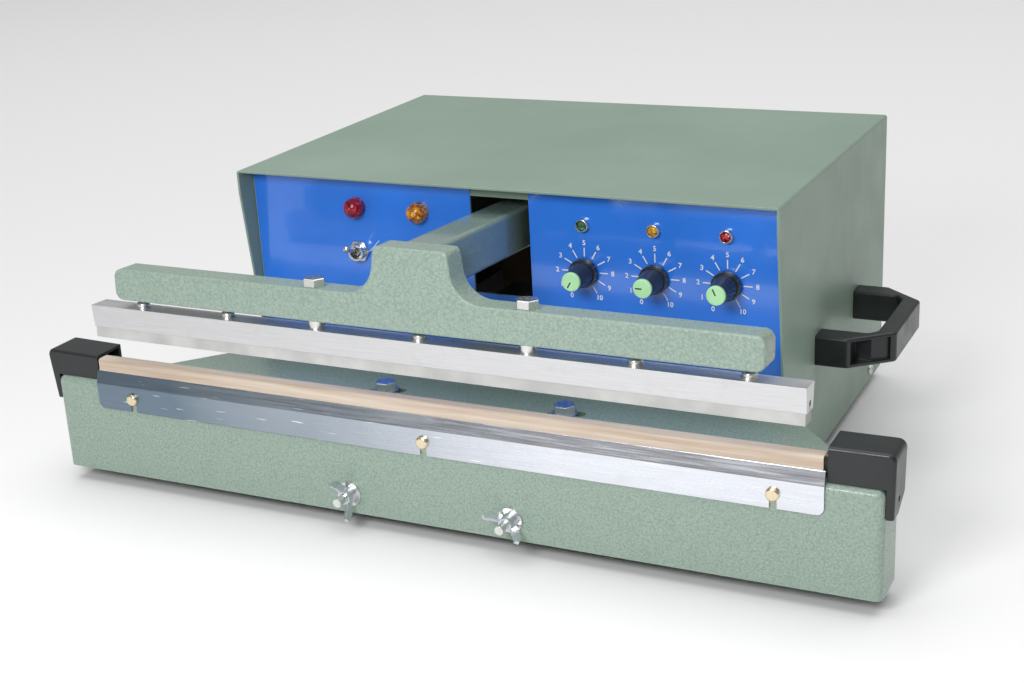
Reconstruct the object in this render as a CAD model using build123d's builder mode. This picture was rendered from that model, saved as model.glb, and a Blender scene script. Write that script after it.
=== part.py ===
from build123d import *
import os
from math import cos, radians, sin

os.makedirs("parts", exist_ok=True)

# Table-top impulse heat sealer, 450 mm class, millimetres, +Z up.
# The sealing jaw stands out to the front (-Y); the arm pivots at the back of the housing.
# Everything is drawn with x = 0 in the middle of the housing and y = 0 under the front edge of its
# hood, and saved with the origin on the table under the middle of the whole machine.

# ---------------------------------------------------------------- driving dimensions
foot_height = 8
case_width = 400
case_depth = 278
case_height = 201
case_bottom = foot_height
case_top = case_bottom + case_height
sheet = 1.5
half_case = case_width / 2
inside_x = half_case - sheet

hood_straight = 16          # upright part of the hood's front edge, from the top
hood_lean_y = 17.4          # how far the front edge has leaned back at its foot
panel_y = 17.5              # front face of the upright front panel
overlay_sheet = 0.4         # the printed face sheet on it
slot_half = 22              # arm slot in the panel
slot_bottom = case_bottom + 121
slot_top = case_bottom + 190

seal_y = -100.5             # the line on which the jaw and the bar meet
jaw_left = 296.5            # the jaw stands out a little further on the left
jaw_right = 293.5
jaw_front = -107
jaw_back = -71
jaw_bottom = case_bottom + 3
jaw_top = case_bottom + 72
jaw_wall = 3
heater_half = 256
heater_width = 9
heater_top = jaw_top + 15.2
cloth_top = heater_top + 0.95

pivot_y = 200
pivot_z = case_bottom + 156
open_tilt = 3.5             # degrees the arm stands open above the closed position
arm_width = 27
arm_height = 30
head_front = 309.7          # distances in front of the pivot, along the arm
head_back = 291.3
bar_center = pivot_y - seal_y

bolt_x = 75.2
shelf_top = case_bottom + 62.5
shelf_screw_x = (-170, -60, 60, 170)
shelf_screw_z = case_bottom + 52
column = (61.5, 111.5, 161)   # the three control columns right of the slot
lamp_z = case_bottom + 176
knob_z = case_bottom + 143.3

handle_mid_z = case_bottom + 79
handle_screw_y = (93, 195)

running = 0.05              # radial clearance of a turning fit
middle_x = -2.85            # half way between the two end caps
middle_y = 77               # half way from the wing nuts' tips to the back of the sockets


# ---------------------------------------------------------------- planes and small hardware
def facing_front(x, y, z):
    return Plane(origin=(x, y, z), x_dir=(1, 0, 0), z_dir=(0, -1, 0))


def facing_up(x, y, z):
    return Plane(origin=(x, y, z), x_dir=(1, 0, 0), z_dir=(0, 0, 1))


def facing_side(x, y, z, way=1):
    return Plane(origin=(x, y, z), x_dir=(0, way, 0), z_dir=(way, 0, 0))


# The arm is drawn level in its closed position and placed on planes tilted open about the pivot.
tilt = radians(open_tilt)
arm_back_way = Vector(0, cos(tilt), -sin(tilt))
arm_up_way = Vector(0, sin(tilt), cos(tilt))
pivot_point = Vector(0, pivot_y, pivot_z)


def arm_point(x, forward, up):
    return pivot_point + Vector(x, 0, 0) - arm_back_way * forward + arm_up_way * up


def arm_up(x, forward, up):
    return Plane(origin=arm_point(x, forward, up), x_dir=(1, 0, 0), z_dir=arm_up_way)


def arm_front(x, forward, up):
    return Plane(origin=arm_point(x, forward, up), x_dir=(1, 0, 0), z_dir=arm_back_way * -1)


def arm_side(x, forward, up):
    return Plane(origin=arm_point(x, forward, up), x_dir=arm_back_way, z_dir=(1, 0, 0))


def pan_screw(shank_radius, length, head_radius, head_height, crossed=True):
    """A round-head screw, plain or cross-recessed: head above the plane, shank below."""
    with BuildPart() as screw:
        with BuildSketch(Plane.XY.offset(-length)):
            Circle(shank_radius)
        extrude(amount=length)
        with BuildSketch():
            Circle(head_radius)
        extrude(amount=head_height)
        fillet(screw.edges().group_by(Axis.Z)[-1], head_height * 0.6)
        if crossed:
            with BuildSketch(Plane.XY.offset(head_height)):
                Rectangle(head_radius * 1.1, head_radius * 0.22)
                Rectangle(head_radius * 0.22, head_radius * 1.1)
            extrude(amount=-head_height * 0.5, mode=Mode.SUBTRACT)
    return screw.part


def hex_bolt(shank_radius, length, across_flats, head_height):
    """A hexagon bolt: head above the plane, shank below."""
    with BuildPart() as bolt:
        with BuildSketch(Plane.XY.offset(-length)):
            Circle(shank_radius)
        extrude(amount=length)
        with BuildSketch():
            RegularPolygon(across_flats / 2, 6, major_radius=False)
        extrude(amount=head_height)
        chamfer(bolt.edges().group_by(Axis.Z)[-1], 0.5)
    return bolt.part


def ring(outer, inner, height):
    with BuildPart() as made:
        with BuildSketch():
            Circle(outer)
            Circle(inner, mode=Mode.SUBTRACT)
        extrude(amount=height)
    return made.part


def hex_nut(across_flats, bore, height):
    with BuildPart() as nut:
        with BuildSketch():
            RegularPolygon(across_flats / 2, 6, major_radius=False)
            Circle(bore, mode=Mode.SUBTRACT)
        extrude(amount=height)
    return nut.part


def save(builder, name):
    part = Pos(-middle_x, -middle_y, 0) * builder.part
    part.label = name
    export_step(part, f"parts/{name}.step")


# ---------------------------------------------------------------- chassis
tongue_half = 115
tongue_front = -65
tray_sheet = 2
tray_flange = 14
tray_half = inside_x - 0.1
tray_back = case_depth - 1
with BuildPart() as base_tray:
    with BuildSketch(Plane.XY.offset(case_bottom)):
        with BuildLine():
            Polyline(
                (-tray_half, tray_back), (-tray_half, 21), (-tongue_half, 21), (-tongue_half, tongue_front),
                (tongue_half, tongue_front), (tongue_half, 21), (tray_half, 21), (tray_half, tray_back),
                close=True,
            )
        make_face()
    extrude(amount=tray_sheet)
    for way in (-1, 1):
        with BuildSketch(facing_side(way * tray_half, 0, 0, way)):
            with Locations((way * (tray_back + 21) / 2, case_bottom + tray_flange / 2)):
                Rectangle(tray_back - 21, tray_flange)
        extrude(amount=-tray_sheet)
        with Locations(facing_side(way * tray_half, 60, case_bottom + 9, way),
                       facing_side(way * tray_half, 241, case_bottom + 9, way)):
            Hole(1.6, depth=tray_sheet)
    with BuildSketch(Plane.XY.offset(case_bottom)):
        with GridLocations(16, 0, 7, 1):
            with Locations((-92, 150)):
                SlotOverall(50, 4, rotation=90)
    extrude(amount=tray_sheet, mode=Mode.SUBTRACT)
save(base_tray, "base_tray")

foot_spots = [(-95, -45), (95, -45), (-170, 252), (170, 252)]
with BuildPart() as rubber_feet:
    with BuildSketch():
        with Locations(*foot_spots):
            Circle(10)
    extrude(amount=foot_height, taper=-4)
    fillet(rubber_feet.edges().group_by(Axis.Z)[0], 1)
save(rubber_feet, "rubber_feet")

with BuildPart() as housing_cover:
    with BuildSketch(Plane.YZ):
        with BuildLine():
            Polyline(
                (0, case_top), (0, case_top - hood_straight), (hood_lean_y, case_bottom + 34),
                (hood_lean_y, case_bottom), (case_depth, case_bottom), (case_depth, case_top), close=True,
            )
        make_face()
    extrude(amount=half_case, both=True)
    fillet(housing_cover.edges().filter_by(Axis.Y).group_by(Axis.Z)[-1], 2)
    with BuildSketch(Plane.XZ.offset(20)):
        with Locations((0, (case_top - sheet) / 2)):
            Rectangle(2 * inside_x, case_top - sheet)
    extrude(amount=-case_depth - 40, mode=Mode.SUBTRACT)
    for way in (-1, 1):
        with Locations(facing_side(way * half_case, 60, case_bottom + 9, way),
                       facing_side(way * half_case, 241, case_bottom + 9, way)):
            Hole(2.2, depth=sheet)
        with Locations(*[facing_side(way * half_case, y, handle_mid_z, way) for y in handle_screw_y]):
            Hole(2.6, depth=sheet)
save(housing_cover, "housing_cover")

side_screw = pan_screw(1.6, 5, 4, 2.2)
with BuildPart() as cover_screws:
    for way in (-1, 1):
        with Locations(facing_side(way * half_case, 60, case_bottom + 9, way),
                       facing_side(way * half_case, 241, case_bottom + 9, way)):
            add(side_screw)
save(cover_screws, "cover_screws")

# ---------------------------------------------------------------- front panel and its face sheet
panel_half = inside_x - 0.2
panel_low = case_bottom + tray_sheet
panel_high = case_top - sheet - 0.2
toggle_z = case_bottom + 144.2
front_holes = [(-112.5, lamp_z, 5.2), (-62, lamp_z, 5.2), (-112, toggle_z, 6.1)]
front_holes += [(x, lamp_z, 3) for x in column]
front_holes += [(x, knob_z, 3.6) for x in column]
with BuildPart() as front_panel:
    with BuildSketch(Plane.XZ.offset(-panel_y)):
        with Locations((0, (panel_low + panel_high) / 2)):
            Rectangle(2 * panel_half, panel_high - panel_low)
        with Locations((0, (slot_bottom + slot_top) / 2)):
            Rectangle(2 * slot_half, slot_top - slot_bottom, mode=Mode.SUBTRACT)
        for x, z, radius in front_holes:
            with Locations((x, z)):
                Circle(radius, mode=Mode.SUBTRACT)
    extrude(amount=-sheet)
save(front_panel, "front_panel")

overlay_low = case_bottom + 83.2
overlay_high = case_bottom + 195
with BuildPart() as control_overlay:
    with BuildSketch(Plane.XZ.offset(-panel_y)):
        with Locations((0, (overlay_low + overlay_high) / 2)):
            Rectangle(2 * 197.6, overlay_high - overlay_low)
        with Locations((0, (slot_bottom + overlay_high + 5) / 2)):
            Rectangle(2 * slot_half, overlay_high + 5 - slot_bottom, mode=Mode.SUBTRACT)
        for x, z, radius in front_holes:
            with Locations((x, z)):
                Circle(radius, mode=Mode.SUBTRACT)
    extrude(amount=overlay_sheet)
save(control_overlay, "control_overlay")
face_y = panel_y - overlay_sheet

# ---------------------------------------------------------------- back panel and its fittings
back_y = case_depth - 3
inlet_x = 120
fuse_x = 165
socket_x = -150
fitting_z = case_bottom + 45
with BuildPart() as back_panel:
    with BuildSketch(Plane.XZ.offset(-back_y)):
        with Locations((0, (panel_low + tray_flange + panel_high) / 2)):
            Rectangle(2 * panel_half, panel_high - panel_low - tray_flange)
        with Locations((inlet_x, fitting_z)):
            Rectangle(27.4, 20.4, mode=Mode.SUBTRACT)
        with Locations((fuse_x, fitting_z)):
            Circle(6.1, mode=Mode.SUBTRACT)
        with Locations((socket_x, fitting_z)):
            Circle(8.1, mode=Mode.SUBTRACT)
        with Locations((0, case_bottom + 150)):
            with GridLocations(20, 0, 9, 1):
                SlotOverall(50, 5, rotation=90, mode=Mode.SUBTRACT)
    extrude(amount=sheet)
save(back_panel, "back_panel")

with BuildPart() as power_inlet:
    with BuildSketch(Plane.XZ.offset(-back_y)):
        with Locations((inlet_x, fitting_z)):
            Rectangle(27, 20)
    extrude(amount=26)
    with BuildSketch(Plane.XZ.offset(-back_y)):
        with Locations((inlet_x, fitting_z)):
            RectangleRounded(34, 28, 3)
    extrude(amount=-2.5)
    with BuildSketch(Plane.XZ.offset(-back_y - 2.5)):
        with Locations((inlet_x, fitting_z)):
            RectangleRounded(22, 15, 2)
    extrude(amount=18, mode=Mode.SUBTRACT)
    with BuildSketch(Plane.XZ.offset(-back_y + 15.5)):
        pins = ((inlet_x - 6, fitting_z - 2), (inlet_x, fitting_z + 3), (inlet_x + 6, fitting_z - 2))
        with Locations(*pins):
            Rectangle(2, 4)
    extrude(amount=-12)
save(power_inlet, "power_inlet")

with BuildPart() as fuse_holder:
    with BuildSketch(Plane.XZ.offset(-back_y)):
        with Locations((fuse_x, fitting_z)):
            Circle(6)
    extrude(amount=30)
    with BuildSketch(Plane.XZ.offset(-back_y)):
        with Locations((fuse_x, fitting_z)):
            Circle(8)
    extrude(amount=-2.8)
save(fuse_holder, "fuse_holder")

with BuildPart() as foot_switch_socket:
    with BuildSketch(Plane.XZ.offset(-back_y)):
        with Locations((socket_x, fitting_z)):
            Circle(8)
    extrude(amount=16)
    with BuildSketch(Plane.XZ.offset(-back_y)):
        with Locations((socket_x, fitting_z)):
            Circle(10.5)
    extrude(amount=-2.6)
    with BuildSketch(Plane.XZ.offset(-back_y - 2.6)):
        with Locations((socket_x, fitting_z)):
            Circle(6.5)
    extrude(amount=11, mode=Mode.SUBTRACT)
    with BuildSketch(Plane.XZ.offset(-back_y + 8.4)):
        with Locations((socket_x, fitting_z)):
            with PolarLocations(3.2, 4):
                Circle(0.8)
    extrude(amount=-4)
save(foot_switch_socket, "foot_switch_socket")

# ---------------------------------------------------------------- jaw: frame, shelf and bracket
stud_x = 58.8
stud_z = case_bottom + 17
clamp_x = (-229.5, 0, 229.5)
clamp_z = case_bottom + 62.3
rear_clamp_y = -85
jaw_middle = ((jaw_right - jaw_left) / 2, (jaw_front + jaw_back) / 2)
with BuildPart() as jaw_frame:
    with BuildSketch(Plane.XY.offset(jaw_bottom)):
        with Locations(jaw_middle):
            Rectangle(jaw_left + jaw_right, jaw_back - jaw_front)
    extrude(amount=jaw_top - jaw_bottom)
    fillet(jaw_frame.edges().filter_by(Axis.Z), 5)
    fillet(jaw_frame.edges().group_by(Axis.Z)[-1], 5)
    with BuildSketch(Plane.XY.offset(jaw_bottom)):
        with Locations(jaw_middle):
            RectangleRounded(jaw_left + jaw_right - 2 * jaw_wall, jaw_back - jaw_front - 2 * jaw_wall, 2)
    extrude(amount=jaw_top - jaw_bottom - jaw_wall, mode=Mode.SUBTRACT)
    with Locations(*[facing_front(x, jaw_front, clamp_z) for x in clamp_x]):
        Hole(2, depth=jaw_wall)
    with Locations(*[facing_front(way * stud_x, jaw_front, stud_z) for way in (-1, 1)]):
        Hole(3.1, depth=jaw_wall)
    with Locations(*[facing_up(x, rear_clamp_y, jaw_top) for x in clamp_x]):
        Hole(2, depth=jaw_wall)
    with Locations(*[facing_front(x, jaw_back - jaw_wall, shelf_screw_z) for x in shelf_screw_x]):
        Hole(3.1, depth=jaw_wall + 1)
save(jaw_frame, "jaw_frame")

shelf_sheet = 4
shelf_front_half = 276
with BuildPart() as jaw_shelf:
    with BuildSketch(Plane.XY.offset(shelf_top - shelf_sheet)):
        with BuildLine():
            Polyline(
                (-shelf_front_half, jaw_back), (shelf_front_half, jaw_back), (202, 13), (197, 13),
                (197, panel_y),
                (-197, panel_y), (-197, 13), (-202, 13), close=True,
            )
        make_face()
        with Locations((-bolt_x + 8, -37), (bolt_x - 8, -37)):
            SlotOverall(28, 8.6, rotation=20, mode=Mode.SUBTRACT)
    extrude(amount=shelf_sheet)
    with BuildSketch(Plane.XZ.offset(-jaw_back)):
        with Locations((0, shelf_top - shelf_sheet - 9)):
            Rectangle(500, 18)
        with Locations(*[(x, shelf_screw_z) for x in shelf_screw_x]):
            Circle(3.1, mode=Mode.SUBTRACT)
    extrude(amount=-3)
    for way in (-1, 1):
        with BuildSketch(facing_side(way * 200, 0, 0, 1)):
            with Locations((-25, shelf_top - shelf_sheet - 20)):
                Rectangle(76, 40)
        extrude(amount=-way * 3)
save(jaw_shelf, "jaw_shelf")

bracket_top = shelf_top - shelf_sheet
bracket_base = case_bottom + tray_sheet
with BuildPart() as jaw_bracket:
    with BuildSketch(Plane.YZ):
        with BuildLine():
            Polyline(
                (-62, bracket_base), (-62, bracket_base + 3), (-52, bracket_base + 3), (-52, bracket_top),
                (-22, bracket_top), (-22, bracket_base + 3), (-12, bracket_base + 3), (-12, bracket_base),
                (-25, bracket_base), (-25, bracket_top - 3), (-49, bracket_top - 3), (-49, bracket_base),
                close=True,
            )
        make_face()
    extrude(amount=98, both=True)
    with Locations(*[facing_up(way * (bolt_x - 8), -37, bracket_top) for way in (-1, 1)]):
        Hole(4.1, depth=3)
save(jaw_bracket, "jaw_bracket")

alignment_bolt = hex_bolt(4, 14, 13, 5.5)
alignment_washer = ring(8.5, 4.2, 1.6)
joining_bolt = hex_bolt(3, 12, 10, 4)
with BuildPart() as shelf_bolts:
    with Locations(*[facing_front(x, jaw_back - jaw_wall, shelf_screw_z) for x in shelf_screw_x]):
        add(joining_bolt)
    with Locations(*[facing_up(way * (bolt_x - 8), -37, shelf_top + 1.6) for way in (-1, 1)]):
        add(alignment_bolt)
    with Locations(*[facing_up(way * (bolt_x - 8), -37, shelf_top) for way in (-1, 1)]):
        add(alignment_washer)
save(shelf_bolts, "shelf_bolts")

# ---------------------------------------------------------------- jaw: heater, cloth and clamps
with BuildPart() as heater_bar:
    with BuildSketch(Plane.YZ):
        with Locations((seal_y + 0.5, (jaw_top + heater_top) / 2)):
            Rectangle(heater_width, heater_top - jaw_top)
    extrude(amount=heater_half, both=True)
save(heater_bar, "heater_bar")
heater_y = seal_y + 0.5

with BuildPart() as insulating_tape:
    with BuildSketch(Plane.XY.offset(heater_top)):
        with Locations((0, heater_y)):
            Rectangle(2 * heater_half, heater_width - 0.4)
    extrude(amount=0.3)
save(insulating_tape, "insulating_tape")

element_z = heater_top + 0.3
terminal_x = 273
terminal_z = jaw_top + 9
element_thickness = 0.25
with BuildPart() as heating_element:
    with BuildSketch(Plane.XZ.offset(-heater_y)):
        with BuildLine():
            Polyline((-terminal_x, terminal_z + 3), (-heater_half - 2, element_z + element_thickness / 2),
                     (heater_half + 2, element_z + element_thickness / 2), (terminal_x, terminal_z + 3))
            offset(amount=element_thickness / 2, kind=Kind.INTERSECTION)
        make_face()
    extrude(amount=1.5, both=True)
save(heating_element, "heating_element")

with BuildPart() as element_terminals:
    for way in (-1, 1):
        with BuildSketch(Plane.XY.offset(jaw_top)):
            with Locations((way * (terminal_x + 3), heater_y + 1.8)):
                Rectangle(12, 6)
        extrude(amount=terminal_z + 2.6 - jaw_top)
        with BuildSketch(Plane.XY.offset(terminal_z + 3.3)):
            with Locations((way * (terminal_x + 4), heater_y + 1.8)):
                Circle(2.6)
        extrude(amount=2)
save(element_terminals, "element_terminals")

strip_half = 259.5
cloth_thickness = 0.2
cloth_front = heater_y - heater_width / 2 - 0.3
cloth_back = heater_y + heater_width / 2 + 0.3
cloth_hem = case_bottom + 56
with BuildPart() as lower_cloth:
    with BuildSketch(Plane.YZ):
        with BuildLine():
            Polyline(
                (jaw_front - 0.2, cloth_hem), (jaw_front - 0.2, jaw_top - 1.5), (cloth_front, jaw_top + 6.5),
                (cloth_front, cloth_top - 0.1), (cloth_back, cloth_top - 0.1), (cloth_back, jaw_top + 0.2),
                (-79.5, jaw_top + 0.2),
            )
            offset(amount=cloth_thickness / 2, kind=Kind.INTERSECTION)
        make_face()
    extrude(amount=strip_half - 1.5, both=True)
    with Locations(*[facing_front(x, jaw_front - 0.2, clamp_z) for x in clamp_x]):
        Hole(2.1, depth=2)
    with Locations(*[facing_up(x, rear_clamp_y, jaw_top + 0.6) for x in clamp_x]):
        Hole(2.1, depth=2)
save(lower_cloth, "lower_cloth")

strip_low = case_bottom + 53.2
strip_fold = case_bottom + 71
strip_sheet = 1
strip_y = jaw_front - 0.4 - strip_sheet / 2
with BuildPart() as front_clamp_strip:
    with BuildSketch(Plane.YZ):
        with BuildLine():
            Polyline((strip_y, strip_low), (strip_y, strip_fold), (strip_y + 2.4, strip_fold + 8.4))
            offset(amount=strip_sheet / 2, kind=Kind.INTERSECTION)
        make_face()
    extrude(amount=strip_half, both=True)
    with BuildSketch(Plane.XZ.offset(-strip_y - 10)):
        with Locations((0, strip_low + 29.5)):
            RectangleRounded(2 * strip_half, 60, 5)
    extrude(amount=20, mode=Mode.INTERSECT)
    for x in clamp_x:
        with BuildSketch(Plane.XZ.offset(-strip_y - 3)):
            with Locations((x, clamp_z - 8)):
                Rectangle(4.6, 16)
            with Locations((x, clamp_z)):
                Circle(2.3)
        extrude(amount=6, mode=Mode.SUBTRACT)
save(front_clamp_strip, "front_clamp_strip")

with BuildPart() as rear_clamp_strip:
    with BuildSketch(Plane.XY.offset(jaw_top + 0.4)):
        with Locations((0, rear_clamp_y)):
            Rectangle(2 * strip_half - 6, 11)
            with Locations(*[(x, 0) for x in clamp_x]):
                Circle(2.1, mode=Mode.SUBTRACT)
    extrude(amount=1.5)
save(rear_clamp_strip, "rear_clamp_strip")

clamp_screw = pan_screw(1.95, 9, 4.3, 2.6, crossed=False)
with BuildPart() as clamp_screws:
    with Locations(*[facing_front(x, strip_y - strip_sheet / 2, clamp_z) for x in clamp_x]):
        add(clamp_screw)
    with Locations(*[facing_up(x, rear_clamp_y, jaw_top + 1.9) for x in clamp_x]):
        add(clamp_screw)
save(clamp_screws, "clamp_screws")

# ---------------------------------------------------------------- end caps over the terminals
cap_inner_x = 260.2
cap_front = -104
cap_back = -78
cap_top = case_bottom + 94
cap_wall = 2
lip_thickness = 4.5
lip_foot = case_bottom + 54
lip_screw_y = -92
lip_screw_z = case_bottom + 63


def end_cap(way, jaw_end, top, lean):
    """A moulded hood over one end of the jaw, open towards the middle, with a lip down the jaw's end."""
    seat = jaw_top + 0.2
    lip_x = jaw_end + 0.2
    outer_x = lip_x + lip_thickness
    with BuildPart() as cap:
        with BuildSketch(Plane.XZ.offset(-cap_back)):
            with BuildLine():
                Polyline(
                    (way * cap_inner_x, seat), (way * cap_inner_x, top - lean / 4),
                    (way * (outer_x + lean), top),
                    (way * outer_x, lip_foot), (way * lip_x, lip_foot), (way * lip_x, seat), close=True,
                )
            make_face()
        extrude(amount=cap_back - cap_front)
        shoulder = cap.faces().sort_by(Axis.Z)[-1].edges().filter_by(Axis.Y).sort_by(Axis.X)
        fillet(shoulder[-1 if way > 0 else 0], 5)
        front_rim = [
            edge for edge in cap.faces().sort_by(Axis.Y)[0].edges()
            if abs(edge.center().X) > cap_inner_x + 1 and edge.center().Z > lip_foot + 1
            and (edge.center().Z > jaw_top + 1 or abs(edge.center().X) > lip_x + 1)
        ]
        fillet(front_rim, 2.2)
        with BuildSketch(Plane.XZ.offset(cap_wall - cap_back)):
            with BuildLine():
                Polyline(
                    (way * (cap_inner_x - 1), seat - 1), (way * (cap_inner_x - 1), top - lean / 4 - cap_wall),
                    (way * (lip_x - 1), top - cap_wall - 0.5), (way * (lip_x - 1), seat - 1), close=True,
                )
            make_face()
        extrude(amount=cap_back - cap_front - 2 * cap_wall, mode=Mode.SUBTRACT)
        with BuildSketch(facing_side(way * jaw_end, 0, 0, 1)):
            with BuildLine():
                Polyline(
                    (cap_back - 16, lip_foot - 1), (cap_back + 1, lip_foot - 1), (cap_back + 1, lip_foot + 9),
                    close=True,
                )
            make_face()
        extrude(amount=way * (lip_thickness + lean + 1), mode=Mode.SUBTRACT)
        with Locations(facing_side(way * (outer_x + 1), lip_screw_y, lip_screw_z, way)):
            Hole(2, depth=lip_thickness + 2)
    return cap.part


with BuildPart() as left_end_cap:
    add(end_cap(-1, jaw_left, cap_top - 3.5, 4))
save(left_end_cap, "left_end_cap")
with BuildPart() as right_end_cap:
    add(end_cap(1, jaw_right, cap_top, 0.8))
save(right_end_cap, "right_end_cap")

# ---------------------------------------------------------------- work-table studs and wing nuts
washer_thickness = 1.5
stud_length = 17            # beyond the jaw's face
with BuildPart() as table_studs:
    for way in (-1, 1):
        with BuildSketch(facing_front(way * stud_x, jaw_front + jaw_wall, stud_z)):
            Circle(3)
        extrude(amount=jaw_wall + stud_length)
        with BuildSketch(facing_front(way * stud_x, jaw_front + jaw_wall, stud_z)):
            RegularPolygon(5, 6, major_radius=False)
        extrude(amount=-4)
    with Locations(*[facing_front(way * stud_x, jaw_front, stud_z) for way in (-1, 1)]):
        add(ring(8.5, 3.2, washer_thickness))
save(table_studs, "table_studs")


def wing_nut(turned):
    """A pressed wing nut on its stud, axis along the plane normal, turned by some degrees."""
    with BuildPart() as nut:
        with BuildSketch():
            Circle(5.5)
        extrude(amount=7, taper=8)
        for way in (-1, 1):
            with BuildSketch(Plane.XZ):
                with BuildLine():
                    Polyline(
                        (way * 2, 1.5), (way * 5.5, 1), (way * 12.5, 7), (way * 14.5, 13),
                        (way * 12, 14.5), (way * 8, 10), (way * 3.5, 6.5), close=True,
                    )
                make_face()
            extrude(amount=1.1, both=True)
        with BuildSketch():
            Circle(3 + running)
        extrude(amount=20, mode=Mode.SUBTRACT)
    return nut.part.rotate(Axis.Z, turned)


nut_seat_y = jaw_front - washer_thickness - 0.05
with BuildPart() as left_wing_nut:
    with Locations(facing_front(-stud_x, nut_seat_y, stud_z)):
        add(wing_nut(-68))
save(left_wing_nut, "left_wing_nut")
with BuildPart() as right_wing_nut:
    with Locations(facing_front(stud_x, nut_seat_y, stud_z)):
        add(wing_nut(-32))
save(right_wing_nut, "right_wing_nut")

# ---------------------------------------------------------------- arm
with BuildPart() as arm_tube:
    with BuildSketch(arm_front(0, head_back, 0)):
        RectangleRounded(arm_width, arm_height, 3)
        RectangleRounded(arm_width - 6, arm_height - 6, 1.5, mode=Mode.SUBTRACT)
    extrude(amount=-(head_back + 16))
    with BuildSketch(arm_side(0, 0, 0)):
        Circle(6)
    extrude(amount=arm_width, both=True, mode=Mode.SUBTRACT)
    with BuildSketch(arm_side(0, 0, 0)):
        with Locations((-105, -arm_height / 2 - 5)):
            Rectangle(12, 16)
    extrude(amount=4, both=True)
    with BuildSketch(arm_side(0, 0, 0)):
        with Locations((-105, -arm_height / 2 - 8)):
            Circle(3)
    extrude(amount=4, both=True, mode=Mode.SUBTRACT)
save(arm_tube, "arm_tube")

head_left = 229.5
head_right = 225.8
head_top = -16.8
head_bottom = -38.4
with BuildPart() as t_head:
    with BuildSketch(arm_front(0, head_back, 0)) as head_outline:
        with BuildLine():
            Polyline(
                (-head_left, head_bottom), (head_right, head_bottom), (head_right, head_top), (30, head_top),
                (25.8, arm_height / 2), (-25.8, arm_height / 2), (-30, head_top), (-head_left, head_top),
                close=True,
            )
        make_face()
        fillet(head_outline.vertices().group_by(Axis.Y)[-1], 4)
        fillet([v for v in head_outline.vertices() if abs(abs(v.X) - 30) < 0.1], 21)
        fillet([v for v in head_outline.vertices() if abs(v.X) > 200], 6)
    extrude(amount=head_front - head_back)
    fillet(t_head.faces().sort_by(Axis.Y)[0].edges(), 1.5)
    with Locations(*[arm_up(way * bolt_x, bar_center, head_top) for way in (-1, 1)]):
        Hole(4.1, depth=30)
save(t_head, "t_head")

bar_left = 252.2
bar_right = 249.4
bar_top = -44.5
bar_low = -60
rubber_low = pivot_z - cloth_top - 0.35
bar_screw_x = (-214, -144.5, 0, 144.5, 214)
with BuildPart() as press_bar:
    with BuildSketch(arm_side(-bar_left, bar_center, 0)):
        with BuildLine():
            Polyline((-8, bar_top), (8, bar_top), (6.2, bar_low), (-6.2, bar_low), close=True)
        make_face()
        with Locations((0, bar_low + 4.5)):
            Circle(2, mode=Mode.SUBTRACT)
            with Locations((0, -3)):
                Rectangle(2, 5, mode=Mode.SUBTRACT)
    extrude(amount=bar_left + bar_right)
    with Locations(*[arm_up(way * bolt_x, bar_center, bar_top) for way in (-1, 1)]):
        Hole(4, depth=9)
    with Locations(*[arm_up(x, bar_center, bar_top) for x in bar_screw_x]):
        Hole(2.5, depth=8)
save(press_bar, "press_bar")

with BuildPart() as rubber_strip:
    with BuildSketch(arm_side(-bar_left + 0.8, bar_center, 0)):
        with BuildLine():
            Polyline((-5.9, bar_low), (5.9, bar_low), (5.9, -rubber_low), (-5.9, -rubber_low), close=True)
        make_face()
    extrude(amount=bar_left + bar_right - 1.6)
save(rubber_strip, "rubber_strip")

head_bolt = hex_bolt(4, 35, 13, 5.5)
with BuildPart() as head_bolts:
    with Locations(*[arm_up(way * bolt_x, bar_center, head_top) for way in (-1, 1)]):
        add(head_bolt)
    with Locations(*[arm_up(way * bolt_x, bar_center, bar_top) for way in (-1, 1)]):
        add(ring(5.6, 4.05, head_bottom - bar_top))
save(head_bolts, "head_bolts")

bar_screw = pan_screw(2.4, 9, 4.5, 3)
with BuildPart() as bar_screws:
    with Locations(*[arm_up(x, bar_center, bar_top + 1) for x in bar_screw_x]):
        add(bar_screw)
    with Locations(*[arm_up(x, bar_center, bar_top) for x in bar_screw_x]):
        add(ring(5.2, 2.45, 1))
save(bar_screws, "bar_screws")

# ---------------------------------------------------------------- pivot, spring and stop
cheek_inner = 16
cheek_outer = 21
bush_radius = 8
with BuildPart() as pivot_bracket:
    for way in (-1, 1):
        with BuildSketch(facing_side(way * cheek_inner, 0, 0, 1)):
            with BuildLine():
                Polyline(
                    (130, bracket_base), (232, bracket_base), (232, 30), (214, pivot_z), (214, pivot_z + 14),
                    (186, pivot_z + 14), (186, pivot_z), (130, 60), close=True,
                )
            make_face()
            with Locations((pivot_y, pivot_z)):
                Circle(bush_radius, mode=Mode.SUBTRACT)
        extrude(amount=way * (cheek_outer - cheek_inner))
    with BuildSketch(Plane.XY.offset(bracket_base)):
        with Locations((0, 181)):
            Rectangle(84, 102)
            with GridLocations(66, 80, 2, 2):
                Circle(3, mode=Mode.SUBTRACT)
    extrude(amount=4)
    with BuildSketch(Plane.XY.offset(98)):
        with Locations((0, 176)):
            Rectangle(2 * cheek_inner, 24)
    extrude(amount=4)
    with BuildSketch(Plane.XY.offset(136)):
        with Locations((0, pivot_y + 9)):
            Rectangle(2 * cheek_inner, 9)
    extrude(amount=5)
save(pivot_bracket, "pivot_bracket")

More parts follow.
